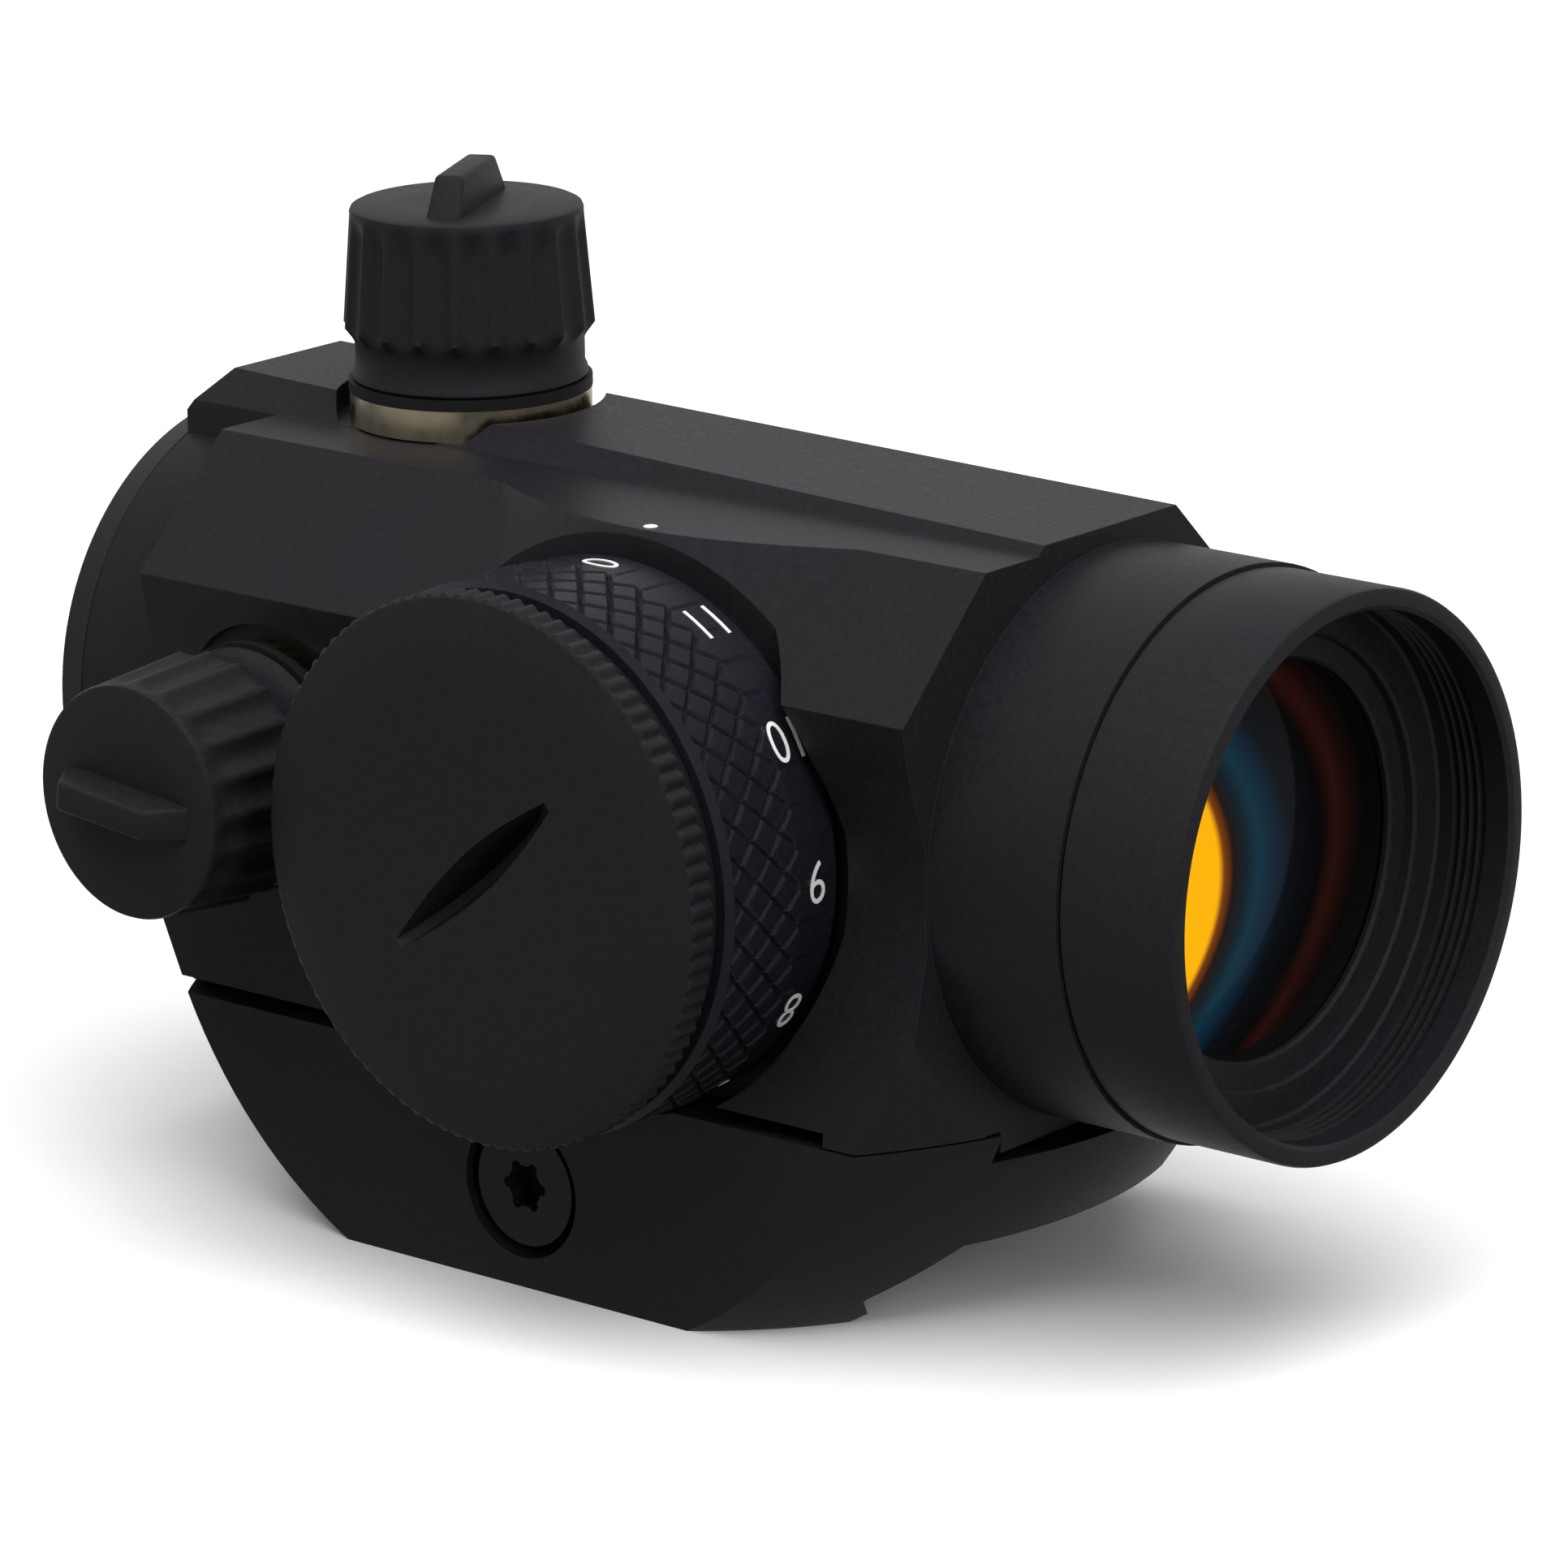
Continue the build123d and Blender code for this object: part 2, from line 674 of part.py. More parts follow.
# ---------------------------------------------------------------- rail mount
jaw_flank = [
    (rail_top_half, 0.0),
    (rail_half, -(rail_half - rail_top_half)),
    (rail_half, -(rail_half - rail_top_half) - rail_edge),
    (rail_half - lip_reach, -(rail_half - rail_top_half) - rail_edge - lip_reach),
    (rail_half - lip_reach + 0.4, -foot_drop),
]

# Base plate with the fixed jaw on the right and a shelf over the moving jaw on the left.
with BuildPart() as mount_base:
    with BuildSketch(Plane.YZ.offset(bowl_centre_x - mount_top_r)):
        with BuildLine():
            Polyline(
                (-foot_half_width, mount_top),
                (-foot_half_width, -foot_drop),
                *[(-y, z) for y, z in reversed(jaw_flank)],
                (rail_top_half, 0.0),
                (rail_top_half, jaw_shelf),
                (foot_half_width, jaw_shelf),
                (foot_half_width, mount_top),
                close=True,
            )
        make_face()
    extrude(amount=2 * mount_top_r)
    add(mount_bowl(), mode=Mode.INTERSECT)
    # recesses under the front tube and the rear tube
    front_recess_x = block_front_x - joint_recess_length - free_gap
    rear_recess_x = block_rear_x + joint_recess_length + free_gap
    for recess_x, outward in ((front_recess_x, Align.MIN), (rear_recess_x, Align.MAX)):
        with Locations((recess_x, 0, mount_top)):
            Box(
                mount_top_r,
                2 * joint_recess_half_width,
                2 * joint_recess,
                align=(outward, Align.CENTER, Align.CENTER),
                mode=Mode.SUBTRACT,
            )
    # round relief that keeps clear of the dial
    with BuildSketch(right_side.offset(dial_back)):
        Circle(dial_r + free_gap)
    extrude(amount=foot_half_width, mode=Mode.SUBTRACT)
    # crossbolt hole and its counterbore
    with BuildSketch(bolt_plane.offset(-foot_half_width)):
        Circle(bolt_r + fit_gap)
    extrude(amount=2 * foot_half_width, mode=Mode.SUBTRACT)
    with BuildSketch(bolt_plane.offset(bolt_head_face - bolt_head_height)):
        Circle(bolt_counterbore_r)
    extrude(amount=bolt_head_height + bolt_head_setback, mode=Mode.SUBTRACT)
    # base screws, with their heads sunk in the seat
    with Locations((mount_centre_x, 0, 0)):
        with GridLocations(2 * base_screw_x, 2 * base_screw_y, 2, 2):
            Cylinder(
                base_screw_r,
                mount_top,
                align=(Align.CENTER, Align.CENTER, Align.MIN),
                mode=Mode.SUBTRACT,
            )
            Cylinder(
                base_screw_head_r,
                base_screw_head_height + free_gap,
                align=(Align.CENTER, Align.CENTER, Align.MIN),
                mode=Mode.SUBTRACT,
            )
save(mount_base.part, "mount_base")

with BuildPart() as base_screws:
    with Locations((mount_centre_x, 0, free_gap)):
        with GridLocations(2 * base_screw_x, 2 * base_screw_y, 2, 2):
            Cylinder(
                base_screw_head_r,
                base_screw_head_height,
                align=(Align.CENTER, Align.CENTER, Align.MIN),
            )
            Cylinder(
                base_screw_r,
                base_screw_length,
                align=(Align.CENTER, Align.CENTER, Align.MIN),
            )
            Cylinder(
                base_screw_r / 2,
                base_screw_head_height / 2,
                align=(Align.CENTER, Align.CENTER, Align.MIN),
                mode=Mode.SUBTRACT,
            )
save(base_screws.part, "base_screws")

with BuildPart() as clamp_jaw:
    with BuildSketch(Plane.YZ.offset(mount_centre_x - jaw_length / 2)):
        with BuildLine():
            Polyline(
                (jaw_inner_y, jaw_shelf - free_gap),
                (jaw_inner_y, rail_top_half - jaw_inner_y),
                *jaw_flank[1:],
                (jaw_outer_y - 1.5, -foot_drop),
                (jaw_outer_y, -foot_drop + 1.5),
                (jaw_outer_y, jaw_shelf - free_gap),
                close=True,
            )
        make_face()
    extrude(amount=jaw_length)
    add(mount_bowl(), mode=Mode.INTERSECT)
    with BuildSketch(bolt_plane.offset(-jaw_outer_y)):
        Circle(bolt_r + fit_gap)
    extrude(amount=jaw_outer_y, mode=Mode.SUBTRACT)
    with BuildSketch(bolt_plane.offset(-jaw_outer_y)):
        Circle(nut_r)
    extrude(amount=nut_height, mode=Mode.SUBTRACT)
save(clamp_jaw.part, "clamp_jaw")
save(turned(bolt_plane, -jaw_outer_y, -jaw_outer_y + nut_height, nut_r, bolt_r + fit_gap), "jaw_nut")

with BuildPart() as crossbolt:
    with BuildSketch(bolt_plane.offset(-jaw_outer_y)):
        Circle(bolt_r)
    extrude(amount=jaw_outer_y + bolt_head_face - bolt_head_height)
    with BuildSketch(bolt_plane.offset(bolt_head_face - bolt_head_height)):
        Circle(bolt_head_r)
    extrude(amount=bolt_head_height)
    with BuildSketch(bolt_plane.offset(bolt_head_face - bolt_socket_depth)):
        Circle(bolt_socket_r * 0.78)
        with PolarLocations(bolt_socket_r * 0.78, 6):
            Circle(bolt_socket_r * 0.22)
    extrude(amount=bolt_socket_depth, mode=Mode.SUBTRACT)
save(crossbolt.part, "crossbolt")
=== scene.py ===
import math
import bmesh
import bpy
from mathutils import Matrix, Vector


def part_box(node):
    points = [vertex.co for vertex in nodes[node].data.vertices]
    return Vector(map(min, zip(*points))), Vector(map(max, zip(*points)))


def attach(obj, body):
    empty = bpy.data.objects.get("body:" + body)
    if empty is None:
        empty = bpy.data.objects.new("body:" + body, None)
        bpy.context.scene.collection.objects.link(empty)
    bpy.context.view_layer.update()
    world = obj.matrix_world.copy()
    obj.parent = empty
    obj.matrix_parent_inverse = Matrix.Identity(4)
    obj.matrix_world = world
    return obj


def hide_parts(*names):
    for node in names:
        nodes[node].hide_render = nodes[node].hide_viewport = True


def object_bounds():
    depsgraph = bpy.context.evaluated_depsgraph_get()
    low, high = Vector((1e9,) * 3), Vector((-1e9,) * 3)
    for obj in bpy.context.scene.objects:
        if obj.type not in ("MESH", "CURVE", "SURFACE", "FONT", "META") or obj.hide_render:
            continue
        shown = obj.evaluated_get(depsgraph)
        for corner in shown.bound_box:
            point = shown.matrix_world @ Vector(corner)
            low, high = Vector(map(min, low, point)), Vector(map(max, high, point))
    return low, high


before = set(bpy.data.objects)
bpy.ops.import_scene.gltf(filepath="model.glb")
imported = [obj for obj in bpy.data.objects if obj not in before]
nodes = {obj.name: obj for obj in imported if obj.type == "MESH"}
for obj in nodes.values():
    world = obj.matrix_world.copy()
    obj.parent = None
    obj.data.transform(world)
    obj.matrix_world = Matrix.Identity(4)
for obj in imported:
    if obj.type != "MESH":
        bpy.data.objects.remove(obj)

cad_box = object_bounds()

# ---- Camera
# A long lens looks at the sight from its front right, a little from above.
turn, lift, roll = math.radians(40.413), math.radians(15.649), math.radians(-0.866)
look_at = Vector((0.002587, -0.0050, 0.020429))
back = Vector((math.sin(turn) * math.cos(lift), -math.cos(turn) * math.cos(lift), math.sin(lift)))
level_right = Vector((0, 0, 1)).cross(back).normalized()
level_up = back.cross(level_right)
right = level_right * math.cos(roll) + level_up * math.sin(roll)
up = level_up * math.cos(roll) - level_right * math.sin(roll)
camera = bpy.data.objects.new("camera", bpy.data.cameras.new("camera"))
camera_distance = 0.401902
camera.data.lens = 187.07
camera.data.sensor_width = 36
camera.data.clip_end = 20
facing = Matrix((right, up, back)).transposed().to_4x4()
camera.matrix_world = Matrix.Translation(look_at + back * camera_distance) @ facing
bpy.context.scene.collection.objects.link(camera)
bpy.context.scene.camera = camera

# ---- Studio: floor, backdrop and lights
# A white floor under a large soft box, with two weak ones at the sides. The lamps and the floor are kept out of
# reflections, so the black metal stays dark.
floor_mesh = bmesh.new()
bmesh.ops.create_grid(floor_mesh, x_segments=1, y_segments=1, size=3)
bmesh.ops.translate(floor_mesh, vec=(0, 0, cad_box[0][2]), verts=floor_mesh.verts)
floor = bpy.data.objects.new("studio_floor", bpy.data.meshes.new("studio_floor"))
floor_mesh.to_mesh(floor.data)
floor_mesh.free()
bpy.context.scene.collection.objects.link(floor)
floor.visible_glossy = False
floor.visible_diffuse = False


def linear(code):
    """sRGB hex colour as linear RGBA."""
    parts = [int(code[i : i + 2], 16) / 255 for i in (1, 3, 5)]
    return tuple(p / 12.92 if p <= 0.04045 else ((p + 0.055) / 1.055) ** 2.4 for p in parts) + (1.0,)


def add_node(material, kind, settings=None, **sockets):
    """Adds a node. Settings are its own properties, sockets are values or (node, output) links."""
    tree = material.node_tree
    node = tree.nodes.new(kind)
    for key, value in (settings or {}).items():
        setattr(node, key, value)
    for key, value in sockets.items():
        numbered = key[0] == "i" and key[1:].isdigit()
        socket = node.inputs[int(key[1:])] if numbered else node.inputs[key.replace("_", " ")]
        if isinstance(value, tuple) and len(value) == 2 and hasattr(value[0], "outputs"):
            tree.links.new(value[0].outputs[value[1]], socket)
        else:
            socket.default_value = value
    return node


def new_material(name):
    """An empty node material and its output node."""
    material = bpy.data.materials.new(name)
    material.use_nodes = True
    material.node_tree.nodes.clear()
    return material


def surface(material, shader):
    """Links a shader to a new output."""
    add_node(material, "ShaderNodeOutputMaterial", Surface=(shader, 0))


white_sweep = new_material("white_paper_sweep")
surface(
    white_sweep,
    add_node(white_sweep, "ShaderNodeBsdfPrincipled", **{"Base_Color": linear("#f6f6f6"), "Roughness": 0.9}),
)
floor.data.materials.append(white_sweep)

world = bpy.data.worlds.new("studio")
world.use_nodes = True
world.node_tree.nodes.clear()
# the backdrop is white, but the room that lights the sight is dim and brightest overhead
ray = add_node(world, "ShaderNodeLightPath")
sky = add_node(world, "ShaderNodeTexCoord")
height = add_node(world, "ShaderNodeSeparateXYZ", Vector=(sky, "Generated"))
room = add_node(world, "ShaderNodeMapRange", Value=(height, "Z"), i1=0.0, i2=0.9, i3=0.21, i4=0.28)
from_camera = (-0.648, 0.761, 0.0)
away = add_node(
    world, "ShaderNodeVectorMath", {"operation": "DOT_PRODUCT"}, i0=(sky, "Generated"), i1=from_camera
)
sweep_glow = add_node(world, "ShaderNodeMapRange", Value=(away, "Value"), i1=0.35, i2=1.0, i3=0.0, i4=0.30)
lit = add_node(world, "ShaderNodeMath", {"operation": "ADD"}, i0=(room, 0), i1=(sweep_glow, 0))
strength = add_node(
    world, "ShaderNodeMix", {"data_type": "FLOAT"}, i0=(ray, "Is Camera Ray"), i2=(lit, 0), i3=1.0
)
backdrop = add_node(world, "ShaderNodeBackground", Color=(1, 1, 1, 1), Strength=(strength, 0))
add_node(world, "ShaderNodeOutputWorld", Surface=(backdrop, 0))
bpy.context.scene.world = world
bpy.context.scene.view_settings.view_transform = "Standard"


def soft_box(name, place, target, width, height, power):
    """Area light at a place, facing a target."""
    light = bpy.data.lights.new(name, "AREA")
    light.shape = "RECTANGLE"
    light.size, light.size_y = width, height
    light.energy = power
    box = bpy.data.objects.new(name, light)
    box.location = place
    box.rotation_euler = (Vector(target) - Vector(place)).to_track_quat("-Z", "Y").to_euler()
    box.visible_glossy = False
    bpy.context.scene.collection.objects.link(box)


soft_box("box_top", (0.22, -0.22, 0.90), (0.02, 0.04, 0.0), 1.30, 1.10, 17.0)
soft_box("box_right", (0.50, -0.20, 0.22), (0, 0, 0.02), 0.20, 0.30, 1.2)
soft_box("box_left", (-0.50, -0.30, 0.30), (0, 0, 0.02), 0.20, 0.30, 0.15)

# ---- Black anodised aluminium
# The housing, mount, rings, dial and caps are machined aluminium, blasted with fine beads and dyed black.
# The blasting leaves a soft grain with a satin sheen, and the dye differs slightly from piece to piece.


def anodised(name, colour, roughness, grain=0.16, depth=0.012, tint="#1d1b20"):
    """Bead-blasted black anodised aluminium: grain is the blasted pit size in millimetres."""
    material = new_material(name)
    place = add_node(material, "ShaderNodeTexCoord")
    pits = add_node(
        material,
        "ShaderNodeTexNoise",
        Vector=(place, "Object"),
        Scale=1000 / grain / 2,
        Detail=3.0,
        Roughness=0.65,
    )
    clouds = add_node(material, "ShaderNodeTexNoise", Vector=(place, "Object"), Scale=90.0, Detail=2.0)
    mottling = add_node(
        material,
        "ShaderNodeMix",
        {"data_type": "RGBA"},
        i0=(clouds, "Fac"),
        i6=linear(colour),
        i7=linear(tint),
    )
    speckle = add_node(material, "ShaderNodeMapRange", Value=(pits, "Fac"), i1=0.3, i2=0.7, i3=0.82, i4=1.18)
    speckled = add_node(
        material,
        "ShaderNodeVectorMath",
        {"operation": "MULTIPLY"},
        i0=(mottling, 2),
        i1=(speckle, 0),
    )
    gloss = add_node(
        material,
        "ShaderNodeMapRange",
        Value=(pits, "Fac"),
        i1=0.3,
        i2=0.7,
        i3=roughness - 0.06,
        i4=roughness + 0.06,
    )
    blasted = add_node(
        material, "ShaderNodeBump", Height=(pits, "Fac"), Strength=0.35, Distance=depth / 1000
    )
    surface(
        material,
        add_node(
            material,
            "ShaderNodeBsdfPrincipled",
            Base_Color=(speckled, 0),
            Roughness=(gloss, 0),
            IOR=1.5,
            Specular_IOR_Level=0.35,
            Normal=(blasted, 0),
        ),
    )
    return material


body_black = anodised("black_anodised_aluminium_housing", "#1b1a1c", 0.42)
ring_black = anodised("black_anodised_aluminium_rings", "#1c1b1d", 0.40)
dial_black = anodised("black_anodised_aluminium_dial", "#16151a", 0.34, tint="#1a1820")
cap_black = anodised("black_anodised_aluminium_caps", "#1b1b1c", 0.46)
mount_black = anodised("black_anodised_aluminium_mount", "#19191a", 0.45)


def finish_mesh(bm, name, body, material, sharp=35):
    """Turns a bmesh into a smooth-shaded piece with sharp edges kept, and lets it ride on its body."""
    mesh = bpy.data.meshes.new(name)
    bm.to_mesh(mesh)
    bm.free()
    mesh.shade_smooth()
    mesh.set_sharp_from_angle(angle=math.radians(sharp))
    mesh.materials.append(material)
    piece = bpy.data.objects.new(name, mesh)
    bpy.context.scene.collection.objects.link(piece)
    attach(piece, body)
    return piece


def rounded_copy(node, name, body, material, radius, angle=30):
    """A machined block with its edges broken: the CAD solid, merged, with a small round on each sharp edge."""
    bm = bmesh.new()
    bm.from_mesh(nodes[node].data)
    bmesh.ops.remove_doubles(bm, verts=bm.verts, dist=2e-6)
    bmesh.ops.dissolve_limit(bm, angle_limit=math.radians(0.05), verts=bm.verts, edges=bm.edges)
    piece = finish_mesh(bm, name, body, material, angle)
    bevel = piece.modifiers.new("broken_edges", "BEVEL")
    bevel.width = radius / 1000
    bevel.segments = 3
    bevel.limit_method = "ANGLE"
    bevel.angle_limit = math.radians(angle)
    bevel.harden_normals = True
    bevel.use_clamp_overlap = True
    flat = piece.modifiers.new("flat_faces", "WEIGHTED_NORMAL")
    flat.weight = 100
    flat.keep_sharp = True
    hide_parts(node)
    return piece


# ---- Housing
# One machined block with the front tube, a raised spine, slanted shoulders and the boss behind the dial.
# Its edges are broken by tumbling before the blasting.
housing = rounded_copy("housing", "housing_block", "sight", body_black, 0.25)

# ---- Objective and eyepiece rings
# Two turned rings screwed on the ends of the tube. The front one has a thread inside for a shade.
axis_z = 0.0199
low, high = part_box("objective_ring")
ring_back, ring_front, ring_r = low.x * 1000, high.x * 1000, (high.y - low.y) * 500


def lathe(profile, steps, along):
    """A turned piece: closed profile of (radius, place along the axis) in millimetres, spun round."""
    bm = bmesh.new()
    verts = [bm.verts.new((r / 1000, 0, h / 1000)) for r, h in profile]
    edges = [bm.edges.new((verts[i], verts[(i + 1) % len(verts)])) for i in range(len(verts))]
    bmesh.ops.spin(
        bm,
        geom=verts + edges,
        cent=(0, 0, 0),
        axis=(0, 0, 1),
        dvec=(0, 0, 0),
        angle=2 * math.pi,
        steps=steps,
        use_merge=True,
    )
    bmesh.ops.remove_doubles(bm, verts=bm.verts, dist=1e-7)
    bmesh.ops.recalc_face_normals(bm, faces=bm.faces)
    bm.transform(along)
    return bm


along_optics = Matrix.Translation((0, 0, axis_z)) @ Matrix.Rotation(math.radians(90), 4, "Y")
outward_right = Matrix.Translation((0, 0, axis_z)) @ Matrix.Rotation(math.radians(90), 4, "X")

thread = []
thread_start, thread_end, pitch = ring_front - 1.5, ring_front - 3.5, 0.5
at = thread_start
while at > thread_end + 0.01:
    thread += [(12.9, at), (13.25, at - 0.2), (13.25, at - 0.3), (12.9, at - pitch + 0.02)]
    at -= pitch
ring_profile = (
    [(13.2, ring_back), (13.85, ring_back), (ring_r, ring_back + 0.15), (ring_r, ring_front - 0.3)]
    + [(ring_r - 0.09, ring_front - 0.09), (ring_r - 0.3, ring_front)]
    + [(13.15, ring_front), (12.93, ring_front - 0.2)]
    + [(12.9, thread_start + 0.02)]
    + thread
    + [(12.9, thread_end), (12.9, ring_front - 4.25), (12.75, ring_front - 4.4), (11.2, ring_front - 4.4)]
    + [(11.05, ring_front - 4.55), (11.0, ring_front - 5.0), (9.95, ring_front - 5.0)]
    + [(9.8, ring_front - 5.15), (9.8, ring_front - 5.4)]
    + [(13.2, ring_front - 5.4)]
)
objective_ring = finish_mesh(
    lathe(ring_profile, 200, along_optics), "objective_ring_threaded", "sight", ring_black, 25
)
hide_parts("objective_ring")

low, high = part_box("eyepiece_ring")
end_x = low.x * 1000
eye_profile = [
    (11.2, end_x + 0.3), (11.5, end_x), (13.2, end_x), (13.6, end_x + 0.35), (13.98, end_x + 2.1),
    (13.85, end_x + 2.2), (12.25, end_x + 2.2), (12.25, end_x + 4.2), (11.2, end_x + 4.2),
]
eyepiece_ring = finish_mesh(
    lathe(eye_profile, 160, along_optics), "eyepiece_ring_turned", "sight", ring_black, 25
)
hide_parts("eyepiece_ring")

# ---- Lenses
# An objective lens with a coating and a plain ocular window. The coating's amber, blue and red reflection is
# painted
# # on the glass as glowing colour: a painted reflection that stays put and does not move as a real reflection
# would.
glowing_reflection_glass = new_material("glass_with_painted_coating_reflection")
place = add_node(glowing_reflection_glass, "ShaderNodeTexCoord")
across = add_node(glowing_reflection_glass, "ShaderNodeSeparateXYZ", Vector=(place, "Object"))
rise = add_node(glowing_reflection_glass, "ShaderNodeMath", {"operation": "SUBTRACT"}, i0=(across, "Z"), i1=axis_z)
bow = add_node(glowing_reflection_glass, "ShaderNodeMath", {"operation": "MULTIPLY"}, i0=(rise, 0), i1=(rise, 0))
curved = add_node(
    glowing_reflection_glass, "ShaderNodeMath", {"operation": "MULTIPLY_ADD"}, i0=(bow, 0), i1=65.0, i2=(across, "Y")
)
band = add_node(glowing_reflection_glass, "ShaderNodeMapRange", Value=(curved, 0), i1=-0.0098, i2=0.0098, i3=0.0, i4=1.0)
# painted reflection: the coating's reflected amber, blue and red bands as a fixed colour ramp across the glass
painted_reflection_colours = add_node(glowing_reflection_glass, "ShaderNodeValToRGB", Fac=(band, 0))
painted_reflection_stops = [
    (0.0, "#ffbe00"), (0.345, "#ffb400"), (0.365, "#7c3a08"), (0.40, "#1c1008"),
    (0.45, "#0a1c26"), (0.50, "#0c3040"), (0.56, "#0a2234"), (0.63, "#080c12"),
    (0.78, "#060404"), (0.86, "#260c08"), (0.94, "#120604"), (1.0, "#080404"),
]
for element, (position, code) in zip(painted_reflection_colours.color_ramp.elements, (painted_reflection_stops[0], painted_reflection_stops[-1])):
    element.position, element.color = position, linear(code)
for position, code in painted_reflection_stops[1:-1]:
    element = painted_reflection_colours.color_ramp.elements.new(position)
    element.color = linear(code)
# the painted reflection is fed to the emission, so the lens glows though it is no lamp
surface(
    glowing_reflection_glass,
    add_node(
        glowing_reflection_glass,
        "ShaderNodeBsdfPrincipled",
        **{"Base_Color": linear("#060606"), "Roughness": 0.05, "Specular_IOR_Level": 0.12,
           "Emission_Color": (painted_reflection_colours, "Color"), "Emission_Strength": 1.0},
    ),
)
objective_lens = nodes["objective_lens"]
objective_lens.data.materials.clear()
objective_lens.data.materials.append(glowing_reflection_glass)

clear_glass = new_material("plain_optical_glass")
surface(
    clear_glass,
    add_node(
        clear_glass,
        "ShaderNodeBsdfPrincipled",
        Base_Color=linear("#1a1c22"),
        Roughness=0.03,
        IOR=1.52,
        Coat_Weight=1.0,
        Coat_Tint=linear("#b8a8e8"),
    ),
)
nodes["ocular_window"].data.materials.clear()
nodes["ocular_window"].data.materials.append(clear_glass)

# ---- Brightness dial
# A turned and diamond-knurled aluminium ring with a smooth band for its numbers.
dial_back, dial_front, dial_r = 14.0, 22.2, 13.75
knurl_low, knurl_high, knurl_starts, knurl_depth = 17.0, 21.75, 44, 0.22
knurl_lead, groove_half_width = 0.95, 0.19
knurl_rows = [(dial_r, knurl_low + i * (knurl_high - knurl_low) / 48) for i in range(49)]
dial_profile = (
    [(12.4, dial_back), (13.4, dial_back), (13.5, dial_back + 0.1), (13.52, knurl_low - 0.25)]
    + knurl_rows
    + [(dial_r, dial_front - 0.4), (dial_r - 0.3, dial_front - 0.02), (dial_r - 0.5, dial_front)]
    + [(12.9, dial_front)]
    + [(12.9, dial_front - 0.6), (12.4, dial_front - 0.6)]
)
bm = lathe(dial_profile, 880, Matrix.Identity(4))
for vert in bm.verts:
    height, radius = vert.co.z * 1000, vert.co.to_2d().length * 1000
    if knurl_low - 0.01 < height < knurl_high + 0.01 and radius > 13.6:
        angle = math.atan2(vert.co.y, vert.co.x)
        step = 2 * math.pi * dial_r / knurl_starts
        cut = 0.0
        for hand in (-1, 1):
            phase = (angle * dial_r + hand * (height - knurl_low) * knurl_lead) / step
            groove = abs(phase - round(phase)) * step
            cut = max(cut, 1 - (groove / groove_half_width) ** 2)
        cut *= min(1, (height - knurl_low + 0.25) / 0.5)
        shrink = (radius - knurl_depth * max(cut, 0)) / radius
        vert.co.x *= shrink
        vert.co.y *= shrink
bm.transform(outward_right)
dial = finish_mesh(bm, "brightness_dial_knurled", "dial", dial_black, 30)
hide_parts("brightness_dial")

# The numbers are filled with white paint, wrapped round the smooth band, and read outwards.
number_paint = new_material("white_number_paint")
surface(
    number_paint,
    add_node(number_paint, "ShaderNodeBsdfPrincipled", **{"Base_Color": linear("#d8d8d6"), "Roughness": 0.5}),
)
for number in range(12):
    curve = bpy.data.curves.new(f"dial_number_{number}", "FONT")
    curve.body = str(number)
    curve.align_x, curve.align_y = "CENTER", "CENTER"
    curve.size = 0.0031
    curve.offset = -0.00003
    curve.extrude = 0.00002
    text = bpy.data.objects.new(f"dial_number_{number}", curve)
    bpy.context.scene.collection.objects.link(text)
    bpy.context.view_layer.update()
    mesh = bpy.data.meshes.new_from_object(text)
    bpy.data.objects.remove(text)
    bm = bmesh.new()
    bm.from_mesh(mesh)
    bmesh.ops.triangulate(bm, faces=bm.faces)
    bmesh.ops.subdivide_edges(bm, edges=[e for e in bm.edges if e.calc_length() > 0.0004], cuts=2)
    around = math.radians(90 + 30 * number)
    for vert in bm.verts:
        reading, upward, depth = vert.co.x * 0.84, vert.co.y, vert.co.z
        angle = around - upward / (13.52e-3)
        radius = 13.53e-3 + depth
        vert.co = (radius * math.cos(angle), radius * math.sin(angle), 0.0155 + reading)
    bm.transform(outward_right)
    bmesh.ops.recalc_face_normals(bm, faces=bm.faces)
    finish_mesh(bm, f"dial_number_{number}", "dial", number_paint)

# ---- Battery cap
# A coin-slotted screw cap with a serrated rim that closes the cell compartment inside the dial.
cap_low, cap_high, cap_r, teeth = 23.15, 25.05, 13.7, 94
rim_rows = [(cap_r, cap_low + 0.12 + i * (cap_high - 0.6 - cap_low) / 6) for i in range(7)]
cap_profile = (
    [(11.2, 20.6), (11.2, cap_low), (cap_r - 0.35, cap_low)]
    + rim_rows
    + [(cap_r - 0.16, cap_high - 0.36), (cap_r - 0.3, cap_high - 0.3)]
    + [(10.9, cap_high - 0.03), (10.6, cap_high)]
    + [(6.0, cap_high), (0.0, cap_high), (0.0, 20.6)]
)
bm = lathe(cap_profile, teeth * 8, Matrix.Identity(4))
for vert in bm.verts:
    radius = vert.co.to_2d().length * 1000
    if radius > cap_r - 0.1:
        phase = math.atan2(vert.co.y, vert.co.x) / (2 * math.pi) * teeth
        notch = 0.5 + 0.5 * math.cos(2 * math.pi * phase)
        shrink = 1 - 0.22 * notch**1.6 / radius
        vert.co.x *= shrink
        vert.co.y *= shrink
bm.transform(outward_right)
battery_cap = finish_mesh(bm, "battery_cap_slotted", "battery_cap_turn", cap_black, 30)
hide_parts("battery_cap")
